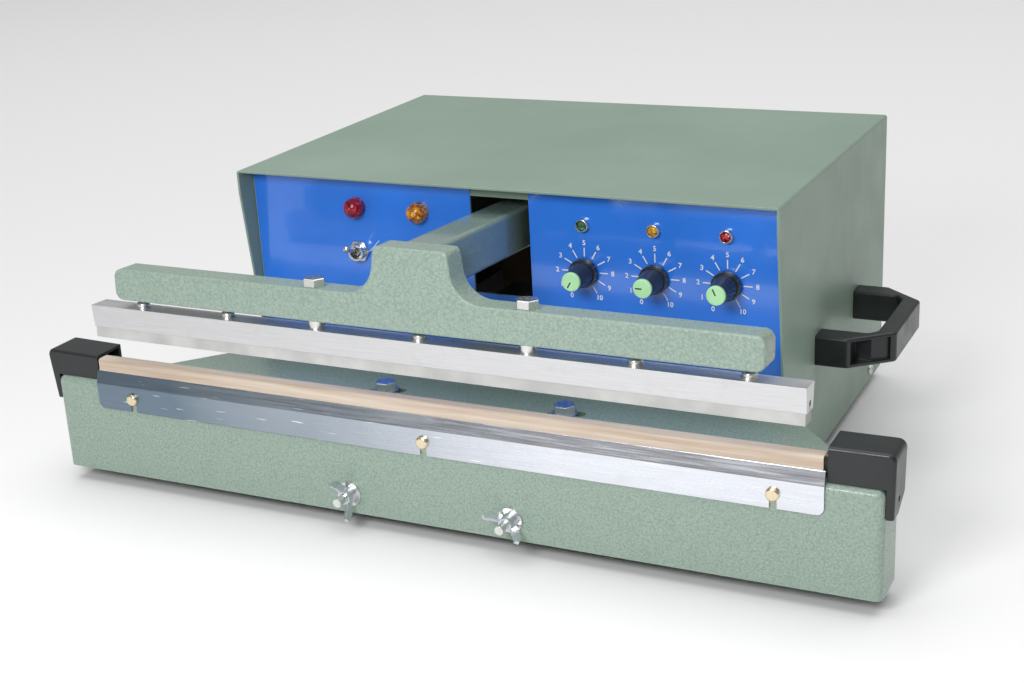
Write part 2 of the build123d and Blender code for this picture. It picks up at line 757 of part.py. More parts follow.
with BuildPart() as pivot_bushes:
    for way in (-1, 1):
        with BuildSketch(facing_side(way * cheek_inner, pivot_y, pivot_z, 1)):
            Circle(bush_radius)
            Circle(6 + running, mode=Mode.SUBTRACT)
        extrude(amount=way * (cheek_outer - cheek_inner))
        with BuildSketch(facing_side(way * cheek_outer, pivot_y, pivot_z, 1)):
            Circle(bush_radius + 3)
            Circle(6 + running, mode=Mode.SUBTRACT)
        extrude(amount=way * 2)
save(pivot_bushes, "pivot_bushes")

with BuildPart() as pivot_shaft:
    with BuildSketch(facing_side(0, pivot_y, pivot_z, 1)):
        Circle(6)
    extrude(amount=cheek_outer + 8, both=True)
    for way in (-1, 1):
        with BuildSketch(facing_side(way * (cheek_outer + 2.5), pivot_y, pivot_z, 1)):
            Circle(9)
        extrude(amount=way * 3)
save(pivot_shaft, "pivot_shaft")

spring_back = 176
spring_seat = 102
spring_radius = 8
spring_wire = 1.2
spring_reach = pivot_y - spring_back
arm_underside = pivot_z + spring_reach * sin(tilt) - (arm_height / 2) / cos(tilt)
spring_height = arm_underside - spring_seat - 0.4
spring_rise = spring_height - 2 * spring_wire
spring_turns = 5
with BuildPart() as return_spring:
    with BuildLine(Plane(origin=(0, spring_back, spring_seat + 0.2 + spring_wire))) as spring_path:
        Helix(pitch=spring_rise / spring_turns, height=spring_rise, radius=spring_radius)
    with BuildSketch(Plane(origin=spring_path.line @ 0, z_dir=spring_path.line % 0)):
        Circle(spring_wire)
    sweep(is_frenet=True)
save(return_spring, "return_spring")

with BuildPart() as stop_pad:
    with BuildSketch(Plane.XY.offset(141)):
        with Locations((0, pivot_y + 9)):
            Circle(4)
    extrude(amount=pivot_z - arm_height / 2 - 13 * sin(tilt) - 0.35 - 141)
save(stop_pad, "stop_pad")

# ---------------------------------------------------------------- magnet that pulls the arm down
magnet_y = pivot_y - 105
yoke_half = 42
yoke_base = bracket_base
yoke_top = 104
core_bore = 11.2
with BuildPart() as magnet_yoke:
    with BuildSketch(Plane.XZ.offset(-magnet_y)):
        with Locations((0, (yoke_base + yoke_top) / 2)):
            Rectangle(2 * yoke_half, yoke_top - yoke_base)
            Rectangle(2 * yoke_half - 16, yoke_top - yoke_base - 16, mode=Mode.SUBTRACT)
    extrude(amount=22, both=True)
    with BuildSketch(Plane.XY.offset(yoke_top)):
        with Locations((0, magnet_y)):
            Circle(core_bore)
    extrude(amount=-8, mode=Mode.SUBTRACT)
save(magnet_yoke, "magnet_yoke")

with BuildPart() as magnet_coil:
    with BuildSketch(Plane.XY.offset(yoke_base + 8)):
        with Locations((0, magnet_y)):
            Circle(30)
            Circle(core_bore, mode=Mode.SUBTRACT)
    extrude(amount=yoke_top - yoke_base - 16)
save(magnet_coil, "magnet_coil")

arm_pin_up = -arm_height / 2 - 8
pin_point = arm_point(0, 105, arm_pin_up)
plunger_radius = 11.1
plunger_low = 52
with BuildPart() as plunger:
    with BuildSketch(Plane.XY.offset(plunger_low)):
        with Locations((0, magnet_y)):
            Circle(plunger_radius)
    extrude(amount=66)
    with BuildSketch(Plane.XY.offset(118)):
        with Locations((0, magnet_y)):
            Rectangle(22, 16)
    extrude(amount=pin_point.Z + 7 - 118)
    with BuildSketch(Plane.XY.offset(126)):
        with Locations((0, magnet_y)):
            Rectangle(9.4, 20)
    extrude(amount=40, mode=Mode.SUBTRACT)
    with BuildSketch(Plane.YZ):
        with Locations((pin_point.Y, pin_point.Z)):
            SlotOverall(10.6, 6.5)
    extrude(amount=14, both=True, mode=Mode.SUBTRACT)
save(plunger, "plunger")

with BuildPart() as arm_pin:
    with BuildSketch(arm_side(-13, 105, arm_pin_up)):
        Circle(3)
    extrude(amount=26)
    for way in (-1, 1):
        with BuildSketch(arm_side(way * 11.4, 105, arm_pin_up)):
            Circle(4.6)
        extrude(amount=way * 1.2)
save(arm_pin, "arm_pin")

# ---------------------------------------------------------------- electrical pieces inside
with BuildPart() as transformer_core:
    with BuildSketch(Plane.XZ.offset(-175)):
        with Locations((-130, bracket_base + 42)):
            Rectangle(100, 84)
            with GridLocations(50, 0, 2, 1):
                Rectangle(24, 50, mode=Mode.SUBTRACT)
    extrude(amount=45)
save(transformer_core, "transformer_core")

with BuildPart() as transformer_coil:
    with BuildSketch(Plane.XY.offset(bracket_base + 17.4)):
        with Locations((-130, 152.5)):
            RectangleRounded(72, 88, 6)
            Rectangle(26.4, 45.6, mode=Mode.SUBTRACT)
    extrude(amount=49.2)
save(transformer_coil, "transformer_coil")

board_z = 30
board_x = 120
board_y = 140
with BuildPart() as control_board:
    with BuildSketch(Plane.XY.offset(board_z)):
        with Locations((board_x, board_y)):
            Rectangle(110, 130)
    extrude(amount=1.6)
    with BuildSketch(Plane.XY.offset(board_z + 1.6)):
        with Locations((95, 110), (95, 150), (145, 180)):
            Rectangle(28, 16)
    extrude(amount=20)
    with BuildSketch(Plane.XY.offset(board_z + 1.6)):
        with Locations((150, 100), (150, 125)):
            Circle(8)
    extrude(amount=22)
    with BuildSketch(Plane.XY.offset(bracket_base)):
        with Locations((board_x, board_y)):
            with GridLocations(98, 118, 2, 2):
                Circle(3.5)
    extrude(amount=board_z - bracket_base)
save(control_board, "control_board")

# ---------------------------------------------------------------- lamps, switch and timers
led_ring_radius = 4.5
led_ring_height = 4
with BuildPart() as indicator_leds:
    for x in column:
        with BuildSketch(facing_front(x, face_y, lamp_z)):
            Circle(2.9)
        extrude(amount=-9)
        with BuildSketch(facing_front(x, face_y, lamp_z)):
            Circle(led_ring_radius)
        extrude(amount=led_ring_height)
save(indicator_leds, "indicator_leds")


def pilot_lamp(x):
    with BuildPart() as lamp:
        with BuildSketch(facing_front(x, face_y, lamp_z)):
            Circle(5.1)
        extrude(amount=-24)
        with BuildSketch(facing_front(x, face_y, lamp_z)):
            Circle(7.2)
        extrude(amount=2)
        with BuildSketch(facing_front(x, face_y - 2, lamp_z)):
            Circle(6.3)
        extrude(amount=9, taper=10)
    return lamp.part


with BuildPart() as red_pilot_lamp:
    add(pilot_lamp(-112.5))
save(red_pilot_lamp, "red_pilot_lamp")
with BuildPart() as amber_pilot_lamp:
    add(pilot_lamp(-62))
save(amber_pilot_lamp, "amber_pilot_lamp")

toggle_x = -112
ball_radius = 3
with BuildPart() as toggle_body:
    with BuildSketch(facing_front(toggle_x, panel_y + sheet, toggle_z)):
        Rectangle(13, 20)
    extrude(amount=-20)
    with BuildSketch(facing_front(toggle_x, panel_y + sheet, toggle_z)):
        Circle(6)
    extrude(amount=sheet + overlay_sheet + 8)
    with BuildSketch(facing_front(toggle_x, face_y - 8, toggle_z)):
        Circle(4.4)
    extrude(amount=-10, mode=Mode.SUBTRACT)
save(toggle_body, "toggle_body")

with BuildPart() as toggle_nut:
    with Locations(facing_front(toggle_x, face_y, toggle_z)):
        add(hex_nut(14, 6.05, 3))
save(toggle_nut, "toggle_nut")

toggle_throw = 22
toggle_length = 16
lever_way = Vector(0, -cos(radians(toggle_throw)), sin(radians(toggle_throw)))
toggle_pivot = Vector(toggle_x, face_y - 4, toggle_z)
with BuildPart() as toggle_lever:
    with BuildSketch(Plane(origin=toggle_pivot, x_dir=(1, 0, 0), z_dir=lever_way)):
        Circle(1.5)
    extrude(amount=toggle_length, taper=-3)
    with Locations(Location(toggle_pivot)):
        Sphere(ball_radius)
    with Locations(Location(toggle_pivot + lever_way * toggle_length)):
        Sphere(2.6)
save(toggle_lever, "toggle_lever")

with BuildPart() as potentiometers:
    for x in column:
        with BuildSketch(facing_front(x, panel_y + sheet, knob_z)):
            Circle(8.5)
            Circle(3 + running, mode=Mode.SUBTRACT)
        extrude(amount=-9)
        with BuildSketch(facing_front(x, panel_y + sheet, knob_z)):
            Circle(3.5)
            Circle(3 + running, mode=Mode.SUBTRACT)
        extrude(amount=sheet + overlay_sheet + 1)
save(potentiometers, "potentiometers")

knob_gap = 1.6
knob_height = 20.5
skirt_height = 4
skirt_radius = 9.8
body_radius = 8.6
body_taper = 7
knob_cap_radius = 6.4
knob_cap_height = 2.2
knob_names = ("recycle", "cooling", "sealing")
for name, x in zip(knob_names, column):
    with BuildPart() as timer_knob:
        with BuildSketch(facing_front(x, face_y - knob_gap, knob_z)):
            Circle(skirt_radius)
        extrude(amount=skirt_height)
        with BuildSketch(facing_front(x, face_y - knob_gap - skirt_height, knob_z)):
            Circle(body_radius)
        extrude(amount=knob_height - skirt_height, taper=body_taper)
        with BuildSketch(facing_front(x, panel_y + sheet + 6, knob_z)):
            Circle(3)
        extrude(amount=6 + sheet + overlay_sheet + knob_gap)
    save(timer_knob, f"{name}_timer_knob")

    with BuildPart() as knob_cap:
        with BuildSketch(facing_front(x, face_y - knob_gap - knob_height, knob_z)):
            Circle(knob_cap_radius)
        extrude(amount=knob_cap_height)
        fillet(knob_cap.edges().sort_by(Axis.Y)[0], 0.6)
    save(knob_cap, f"{name}_knob_cap")

# ---------------------------------------------------------------- side handles
handle_height = 21.5
handle_front = 84
handle_back = 204
foot_out = 22               # how far the square feet stand out before the legs slant
grip_out = 50
grip_inside = grip_out - 13
pocket_floor = 2.5


def handle_points(way, *points):
    """Plan points given as (distance out from the case, y)."""
    return [(way * (half_case + out), y) for out, y in points]


def side_handle(way):
    """A moulded bridge handle: two feet on the case, slanted legs with pockets, and a grip."""
    with BuildPart() as handle:
        with BuildSketch(Plane.XY.offset(handle_mid_z - handle_height / 2)):
            with BuildLine():
                Polyline(
                    *handle_points(
                        way, (0.1, handle_front), (foot_out, handle_front), (grip_out, 108), (grip_out, 180),
                        (foot_out, handle_back), (0.1, handle_back),
                    ),
                    close=True,
                )
            make_face()
            with BuildLine():
                Polyline(
                    *handle_points(
                        way, (0, 102), (0, 186), (grip_inside - 5, 186), (grip_inside, 179),
                        (grip_inside, 109), (grip_inside - 5, 102),
                    ),
                    close=True,
                )
            make_face(mode=Mode.SUBTRACT)
        extrude(amount=handle_height)
        knuckles = [e for e in handle.edges().filter_by(Axis.Z) if abs(e.center().X) > half_case + 10]
        fillet(knuckles, 4)
        rims = handle.faces().filter_by(Plane.XY).edges()
        fillet([e for e in rims if abs(e.center().X) > half_case + 0.2], 2)
        near_pocket = (
            (foot_out + 2, 80), (foot_out + 2, 99), (grip_inside - 2, 99), (grip_out - 3.5, 108),
            (grip_out - 3.5, 80),
        )
        far_pocket = [(out, handle_front + handle_back - y) for out, y in near_pocket]
        for pocket in (near_pocket, far_pocket):
            with BuildSketch(Plane.XY.offset(handle_mid_z - handle_height / 2 + pocket_floor)):
                with BuildLine():
                    Polyline(*handle_points(way, *pocket), close=True)
                make_face()
            extrude(amount=handle_height - 2 * pocket_floor, mode=Mode.SUBTRACT)
        screw_spots = [facing_side(way * (half_case + 8.2), y, handle_mid_z, way) for y in handle_screw_y]
        with Locations(*screw_spots):
            Hole(2.1, depth=8.4)
    return handle.part


with BuildPart() as side_handles:
    add(side_handle(1))
    add(side_handle(-1))
save(side_handles, "side_handles")

handle_screw = pan_screw(2, 9, 4, 2.2)
with BuildPart() as handle_screws:
    for way in (-1, 1):
        with Locations(*[facing_side(way * inside_x, y, handle_mid_z, -way) for y in handle_screw_y]):
            add(handle_screw)
save(handle_screws, "handle_screws")
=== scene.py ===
# %% [markdown]
# # A table-top impulse heat sealer
#
# The machine is a green sheet-metal box with a T-shaped arm. A magnet inside pulls the arm down,
# so that an aluminium bar presses a plastic bag on a hot ribbon under a strip of coated cloth.
# The metalwork comes ready made, to the right size, from the engineering model. This script gives
# every part its finish, and adds what an engineering model leaves out: the cloth, the printed
# dials, the faceted lamps and the light of a studio.

# %% Load the metalwork
import math

import bmesh
import bpy
from mathutils import Matrix, Vector


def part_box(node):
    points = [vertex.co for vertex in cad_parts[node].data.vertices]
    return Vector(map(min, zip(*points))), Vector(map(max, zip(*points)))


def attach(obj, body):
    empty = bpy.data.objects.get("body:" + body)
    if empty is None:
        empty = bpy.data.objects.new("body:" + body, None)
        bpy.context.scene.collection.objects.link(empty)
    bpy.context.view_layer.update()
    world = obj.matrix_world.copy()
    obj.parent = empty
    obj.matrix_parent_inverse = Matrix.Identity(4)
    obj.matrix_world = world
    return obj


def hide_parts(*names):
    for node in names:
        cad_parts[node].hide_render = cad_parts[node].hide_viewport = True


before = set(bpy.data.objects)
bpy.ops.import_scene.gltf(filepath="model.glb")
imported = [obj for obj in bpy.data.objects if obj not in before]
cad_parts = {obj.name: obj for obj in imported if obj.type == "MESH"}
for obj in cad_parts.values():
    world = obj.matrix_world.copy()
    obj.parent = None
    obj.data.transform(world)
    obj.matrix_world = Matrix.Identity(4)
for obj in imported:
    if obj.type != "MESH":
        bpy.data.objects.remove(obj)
bpy.ops.object.select_all(action="DESELECT")
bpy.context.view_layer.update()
MM = 0.001

# %% [markdown]
# ## Camera
#
# The machine is looked at from the front, a little to its right and above. The camera stands
# about a metre away with a short telephoto lens, which keeps the long jaw from looking bent.
# It is turned about Z, then tipped down, then rolled a little, in that order.

# %% Camera
CAMERA_PLACE = (0.4812, -1.0036, 0.4722)
CAMERA_TURN = 26.673
CAMERA_DIP = 19.626
CAMERA_ROLL = -3.080
CAMERA_LENS = 56.82


def turn(degrees, axis):
    """A 4x4 rotation about an axis through the origin."""
    return Matrix.Rotation(math.radians(degrees), 4, axis)


bpy.ops.object.camera_add()
camera = bpy.context.active_object
camera.name = "camera"
camera.matrix_world = (
    Matrix.Translation(CAMERA_PLACE)
    @ turn(CAMERA_TURN, "Z")
    @ turn(90 - CAMERA_DIP, "X")
    @ turn(CAMERA_ROLL, "Z")
)
camera.data.lens = CAMERA_LENS
bpy.context.scene.camera = camera
print("camera lens:", camera.data.lens, "mm")

# %% [markdown]
# ## Materials from a few small parts
#
# A procedural material is a chain of nodes: coordinates go into a pattern, the pattern goes into
# a colour, a roughness or a bump. The same five or six links turn up in every finish here, so
# each has a short helper. All patterns read Object coordinates. Every finished piece sits at the
# origin with its place in its mesh, so one pattern runs through all of them at its real scale.


# %% Helpers for nodes
def node(tree, kind, inputs=None, **settings):
    """Adds a shader node. An input is given a value, or a socket that is linked to it."""
    made = tree.nodes.new("ShaderNode" + kind)
    for key, value in settings.items():
        setattr(made, key, value)
    for key, value in (inputs or {}).items():
        if isinstance(value, bpy.types.NodeSocket):
            tree.links.new(value, made.inputs[key])
        else:
            made.inputs[key].default_value = value
    return made


def new_finish(name, colour, roughness, metallic=0.0):
    """A new material, with its node tree and its main shader."""
    material = bpy.data.materials.new(name)
    material.use_nodes = True
    shader = material.node_tree.nodes["Principled BSDF"]
    shader.inputs["Base Color"].default_value = (*colour, 1)
    shader.inputs["Roughness"].default_value = roughness
    shader.inputs["Metallic"].default_value = metallic
    return material, material.node_tree, shader


def place(tree, stretch=(1, 1, 1), turned=(0, 0, 0)):
    """Object coordinates, scaled and turned so that a pattern can be drawn out along one way."""
    source = node(tree, "TexCoord").outputs["Object"]
    angles = [math.radians(a) for a in turned]
    inputs = {"Vector": source, "Scale": stretch, "Rotation": angles}
    return node(tree, "Mapping", inputs).outputs["Vector"]


def noise(tree, scale, detail=3.0, where=None, rough=0.5):
    where = where or place(tree)
    inputs = {"Vector": where, "Scale": scale, "Detail": detail, "Roughness": rough}
    return node(tree, "TexNoise", inputs).outputs["Fac"]


def spread(tree, value, low, high, start=0.0, end=1.0):
    """Maps a value from low..high to start..end, and clamps it."""
    inputs = {
        "Value": value,
        "From Min": low,
        "From Max": high,
        "To Min": start,
        "To Max": end,
    }
    return node(tree, "MapRange", inputs).outputs["Result"]


def mix(tree, factor, first, second):
    """Mixes two colours. Each is three numbers or a socket."""
    made = node(tree, "Mix", data_type="RGBA")
    tree.links.new(factor, made.inputs["Factor"])
    for socket, colour in ((made.inputs[6], first), (made.inputs[7], second)):
        if isinstance(colour, bpy.types.NodeSocket):
            tree.links.new(colour, socket)
        else:
            socket.default_value = (*colour, 1)
    return made.outputs[2]


def both(tree, operation, first, second):
    """Combines two values with a Math node."""
    made = node(tree, "Math", operation=operation)
    for socket, value in zip(made.inputs, (first, second)):
        if isinstance(value, bpy.types.NodeSocket):
            tree.links.new(value, socket)
        else:
            socket.default_value = value
    return made.outputs[0]


def softened(tree, radius):
    """A normal that rounds sharp edges off, as a coat of paint or a deburring file does."""
    return node(tree, "Bevel", {"Radius": radius}, samples=4).outputs["Normal"]


def emboss(tree, height, depth, normal=None):
    """Bump from a height pattern. Depth is in metres."""
    inputs = {"Height": height, "Distance": depth, "Strength": 1.0}
    if normal is not None:
        inputs["Normal"] = normal
    return node(tree, "Bump", inputs).outputs["Normal"]


def worn_edge(tree, radius):
    """1 on sharp edges and 0 on flat faces: how far the softened normal leans from the real one."""
    flat = node(tree, "NewGeometry").outputs["Normal"]
    lean = node(tree, "VectorMath", operation="DOT_PRODUCT")
    tree.links.new(flat, lean.inputs[0])
    tree.links.new(softened(tree, radius), lean.inputs[1])
    return spread(tree, lean.outputs["Value"], 0.97, 0.80)


def finish_socket(tree, shader, **sockets):
    """Links patterns to the shader: colour, roughness, normal."""
    names = {"colour": "Base Color", "roughness": "Roughness", "normal": "Normal"}
    for key, socket in sockets.items():
        tree.links.new(socket, shader.inputs[names[key]])


print("node helpers ready")

# %% [markdown]
# ## Hammertone enamel
#
# The jaw, the shelf, the T-head and the arm are painted with hammertone: an enamel with silicone
# oil in it, which pulls the wet paint into small dimples with a darker rim. A Voronoi pattern
# gives the dimples. Its coordinates are first pushed about with noise, because real dimples are
# uneven and run into each other. The same pattern drives the colour and the bump, so that light
# and dark fall where the relief is.


# %% Hammertone enamel
def hammertone(name, light, dark, dimple, depth, roughness, coat=0.3):
    material, tree, shader = new_finish(name, light, roughness)
    where = place(tree)
    push = node(tree, "TexNoise", {"Vector": where, "Scale": 0.5 / dimple, "Detail": 3.0})
    shift = node(tree, "VectorMath", operation="MULTIPLY_ADD")
    tree.links.new(push.outputs["Color"], shift.inputs[0])
    shift.inputs[1].default_value = (dimple * 2.2,) * 3
    tree.links.new(where, shift.inputs[2])
    inputs = {"Vector": shift.outputs["Vector"], "Scale": 1 / dimple, "Smoothness": 0.9}
    cells = node(tree, "TexVoronoi", inputs, feature="SMOOTH_F1").outputs["Distance"]
    relief = spread(tree, cells, 0.15, 0.65, 1.0, 0.0)
    patches = noise(tree, 55.0, 3.0)
    tone = both(tree, "MULTIPLY", relief, spread(tree, patches, 0.2, 0.8, 0.8, 1.1))
    painted = mix(tree, tone, dark, light)
    flakes = noise(tree, 2600.0, 1.0)
    bright = [min(1.0, c * 1.25) for c in light]
    painted = mix(tree, spread(tree, flakes, 0.58, 0.72, 0.0, 0.55), painted, bright)
    rim = [min(1.0, c * 1.45) for c in light]
    coloured = mix(tree, worn_edge(tree, 0.0009), painted, rim)
    normal = emboss(tree, relief, depth, softened(tree, 0.0008))
    gloss = spread(tree, relief, 0.0, 1.0, roughness + 0.10, roughness)
    finish_socket(tree, shader, colour=coloured, roughness=gloss, normal=normal)
    shader.inputs["Coat Weight"].default_value = coat
    shader.inputs["Coat Roughness"].default_value = 0.10
    return material


GREEN_LIGHT = (0.330, 0.425, 0.362)
GREEN_DARK = (0.228, 0.310, 0.254)
# The arm has the same hammertone, but its colours are darker and bluer: painted shade and a painted
# blue reflection, for the shadow under the hood.
ARM_SHADED_PALE = (0.235, 0.325, 0.295)
ARM_SHADED_DEEP = (0.180, 0.260, 0.238)
cast_green = hammertone("cast_green", GREEN_LIGHT, GREEN_DARK, 0.0016, 0.00024, 0.33)
sheet_green = hammertone("sheet_green", GREEN_LIGHT, GREEN_DARK, 0.0013, 0.00016, 0.32)
arm_green_shaded = hammertone("arm_green_shaded", ARM_SHADED_PALE, ARM_SHADED_DEEP, 0.0013, 0.00006, 0.24, 0.9)
print("hammertone:", cast_green.name, sheet_green.name)

# %% [markdown]
# ## Satin enamel of the housing
#
# The big cover has a plain enamel, sprayed and stoved. It looks smooth from afar, but close up
# it has the fine skin of an orange. Two layers of noise give that skin, and a very wide, weak
# noise moves the colour a little, as handling and light do. On the folded edges the paint pulls
# thin, so the edge mask lightens them.

# %% Satin enamel
COVER_GREEN = (0.268, 0.362, 0.298)


def satin_enamel(name, colour):
    material, tree, shader = new_finish(name, colour, 0.42)
    clouds = noise(tree, 7.0, 4.0)
    specks = noise(tree, 2200.0, 2.0)
    deep = [c * 0.90 for c in colour]
    pale = [c * 1.06 for c in colour]
    coloured = mix(tree, spread(tree, clouds, 0.3, 0.7), deep, pale)
    speck_tone = [c * 0.80 for c in colour]
    coloured = mix(tree, spread(tree, specks, 0.52, 0.75, 0.0, 0.7), coloured, speck_tone)
    edge = [min(1.0, c * 1.7) for c in colour]
    coloured = mix(tree, worn_edge(tree, 0.0007), coloured, edge)
    peel = noise(tree, 900.0, 3.0)
    normal = emboss(tree, peel, 0.00007, softened(tree, 0.0006))
    gloss = spread(tree, noise(tree, 30.0, 4.0), 0.3, 0.7, 0.36, 0.50)
    finish_socket(tree, shader, colour=coloured, roughness=gloss, normal=normal)
    shader.inputs["Specular IOR Level"].default_value = 0.30
    return material


cover_green = satin_enamel("cover_green", COVER_GREEN)
print("satin enamel:", cover_green.name)

# %% [markdown]
# ## Bare metals
#
# Metal that is drawn, rolled or turned keeps fine lines along the way it was worked. Noise that
# is stretched along one way gives such lines. They change the roughness and the bump, and only a
# little of the colour, because a metal has almost no colour of its own: what shows is what it
# reflects. One helper makes them all. The way of the lines, their depth and the amount of dull
# spots tell a milled bar from a plated screw. The clamp strip in front gets more: it is wiped and
# rubbed by every bag, so it has short bright scratches. Towards its left end its colour is painted
# darker and bluer, a painted dark reflection, and its roughness rises there.


# %% Bare metals
def bare_metal(name, colour, roughness, stretch, scale, depth, dull=0.15, turned=(0, 0, 0)):
    material, tree, shader = new_finish(name, colour, roughness, 1.0)
    lines = noise(tree, scale, 5.0, place(tree, stretch, turned), 0.65)
    spots = noise(tree, 90.0, 4.0)
    dark = [c * 0.88 for c in colour]
    coloured = mix(tree, spread(tree, lines, 0.35, 0.60), dark, colour)
    stain = [c * 0.86 for c in colour]
    coloured = mix(tree, spread(tree, spots, 0.55, 0.75, 0.0, 0.6), coloured, stain)
    gloss = spread(tree, lines, 0.3, 0.7, roughness - 0.06, roughness + dull)
    normal = emboss(tree, lines, depth, softened(tree, 0.0003))
    finish_socket(tree, shader, colour=coloured, roughness=gloss, normal=normal)
    return material


ALONG_X = (0.03, 1, 1)
EVEN = (1, 1, 1)
bar_aluminium = bare_metal("bar_aluminium", (0.72, 0.72, 0.73), 0.42, ALONG_X, 1500.0, 0.00002)
strip_aluminium = bare_metal("strip_aluminium", (0.78, 0.80, 0.86), 0.20, ALONG_X, 700.0, 0.00002)
plated_steel = bare_metal("plated_steel", (0.78, 0.78, 0.77), 0.20, EVEN, 500.0, 0.00002)
cast_zinc = bare_metal("cast_zinc", (0.72, 0.75, 0.80), 0.30, EVEN, 350.0, 0.00010)
zinc_sheet = bare_metal("zinc_sheet", (0.60, 0.61, 0.60), 0.38, (1, 0.2, 1), 120.0, 0.00003)
brass = bare_metal("brass", (0.80, 0.56, 0.25), 0.28, EVEN, 600.0, 0.00002)
yellow_zinc = bare_metal("yellow_zinc", (0.82, 0.70, 0.50), 0.18, EVEN, 500.0, 0.00001)
spring_steel = bare_metal("spring_steel", (0.42, 0.42, 0.44), 0.34, EVEN, 500.0, 0.00003)
ribbon_alloy = bare_metal("ribbon_alloy", (0.45, 0.40, 0.36), 0.40, ALONG_X, 500.0, 0.00002)
print("metals made")


# %% Scratches and a painted dark reflection on the clamp strip
# Towards the left end the strip's colour is painted darker and bluer: a painted dark reflection.
REFLECTION_SHADE_TONE = (0.19, 0.25, 0.31)
SCRATCH_TONE = (0.90, 0.91, 0.94)
LEFT_END_ROUGHNESS = 0.12
SHADE_STARTS_X = 0.16
SHADE_FULL_X = -0.12
SCRATCH_SLANT = 12


def hand_scratches(material):
    """Short bright scratches, and a painted dark reflection that is strongest at the left end of
    the jaw.
    """
    tree = material.node_tree
    shader = tree.nodes["Principled BSDF"]
    colour = shader.inputs["Base Color"].links[0].from_socket
    slanted = place(tree, (0.05, 1, 1), (0, SCRATCH_SLANT, 0))
    nicks = spread(tree, noise(tree, 900.0, 2.0, slanted, 0.4), 0.69, 0.73)
    along = node(tree, "SeparateXYZ", {"Vector": place(tree)}).outputs["X"]
    drift = both(tree, "MULTIPLY", noise(tree, 9.0, 3.0), 0.12)
    # Painted dark reflection: the colour darkens and turns bluer towards the left end, and the
    # roughness rises there too.
    dark_reflection_mask = spread(tree, both(tree, "ADD", along, drift), SHADE_STARTS_X, SHADE_FULL_X)
    reflection_shaded = mix(tree, dark_reflection_mask, colour, REFLECTION_SHADE_TONE)
    scratched = mix(tree, nicks, reflection_shaded, SCRATCH_TONE)
    plain_rough = shader.inputs["Roughness"].links[0].from_socket
    rough = both(tree, "ADD", plain_rough, both(tree, "MULTIPLY", dark_reflection_mask, LEFT_END_ROUGHNESS))
    finish_socket(tree, shader, colour=scratched, roughness=rough)


hand_scratches(strip_aluminium)
print("scratched:", strip_aluminium.name)

# %% [markdown]
# ## Plastics, rubber and the blue face sheet
#
# Moulded plastic has a fine sparkle in its skin. The caps and handles get grain in the bump and
# a slow change in gloss, from hands and dust. The blue face sheet is a thin glossy film that is
# glued to the panel. It is never quite flat, so its bump is wide and shallow: reflections in it
# wave slightly.


# %% Moulded plastic and rubber
def moulded(name, colour, roughness, grain=1400.0, depth=0.00004, coat=0.0):
    material, tree, shader = new_finish(name, colour, roughness)
    skin = noise(tree, grain, 2.0)
    handled = noise(tree, 45.0, 4.0)
    pale = [min(1.0, c * 1.35 + 0.004) for c in colour]
    coloured = mix(tree, spread(tree, handled, 0.35, 0.75), colour, pale)
    rim = [min(1.0, c * 1.8 + 0.03) for c in colour]
    coloured = mix(tree, worn_edge(tree, 0.0006), coloured, rim)
    gloss = spread(tree, handled, 0.3, 0.7, roughness - 0.05, roughness + 0.10)
    normal = emboss(tree, skin, depth, softened(tree, 0.0006))
    finish_socket(tree, shader, colour=coloured, roughness=gloss, normal=normal)
    shader.inputs["Coat Weight"].default_value = coat
    return material


black_moulding = moulded("black_moulding", (0.010, 0.013, 0.014), 0.34, coat=0.10)
knob_black = moulded("knob_black", (0.016, 0.019, 0.022), 0.26, 2600.0, 0.00001, 0.3)
pale_green = moulded("pale_green", (0.435, 0.800, 0.420), 0.42, 2000.0, 0.00001)
black_rubber = moulded("black_rubber", (0.018, 0.018, 0.018), 0.75, 900.0, 0.00006)
grey_silicone = moulded("grey_silicone", (0.430, 0.430, 0.420), 0.62, 800.0, 0.00005)
green_board = moulded("green_board", (0.030, 0.160, 0.060), 0.45, 300.0, 0.00006)
print("plastics made")


# %% Blue face sheet
def face_film(name, colour):
    material, tree, shader = new_finish(name, colour, 0.16)
    clouds = noise(tree, 9.0, 3.0)
    deep = [c * 0.88 for c in colour]
    pale = [min(1.0, c * 1.12 + 0.01) for c in colour]
    coloured = mix(tree, spread(tree, clouds, 0.3, 0.7), deep, pale)
    fibre = noise(tree, 1500.0, 2.0)
    waves = noise(tree, 14.0, 1.0, place(tree, (0.35, 1, 1)))
    normal = emboss(tree, fibre, 0.000006, emboss(tree, waves, 0.0012))
    gloss = spread(tree, noise(tree, 60.0, 5.0), 0.4, 0.8, 0.13, 0.24)
    finish_socket(tree, shader, colour=coloured, roughness=gloss, normal=normal)
    shader.inputs["Coat Weight"].default_value = 0.6
    shader.inputs["Coat Roughness"].default_value = 0.06
    return material


BLUE = (0.030, 0.215, 0.880)
blue_film = face_film("blue_film", BLUE)
print("face sheet:", blue_film.name)

# %% [markdown]
# ## Iron and windings
#
# The magnet and the transformer are stacks of thin varnished iron sheets with coils of enamelled
# wire between them. Regular lines come from a Wave pattern: wide ones with a groove for each
# layer of wire, fine ones for the sheets.


# %% Iron stacks and windings
def layered(name, colour, direction, lines_per_metre, depth, roughness, metallic):
    material, tree, shader = new_finish(name, colour, roughness, metallic)
    inputs = {"Vector": place(tree), "Scale": lines_per_metre / 10 * math.pi, "Distortion": 0.4}
    lines = node(tree, "TexWave", inputs, bands_direction=direction).outputs["Fac"]
    dark = [c * 0.45 for c in colour]
    coloured = mix(tree, spread(tree, lines, 0.1, 0.6), dark, colour)
    gloss = spread(tree, noise(tree, 80.0), 0.3, 0.7, roughness, roughness + 0.15)
    finish_socket(tree, shader, colour=coloured, roughness=gloss, normal=emboss(tree, lines, depth))
    return material


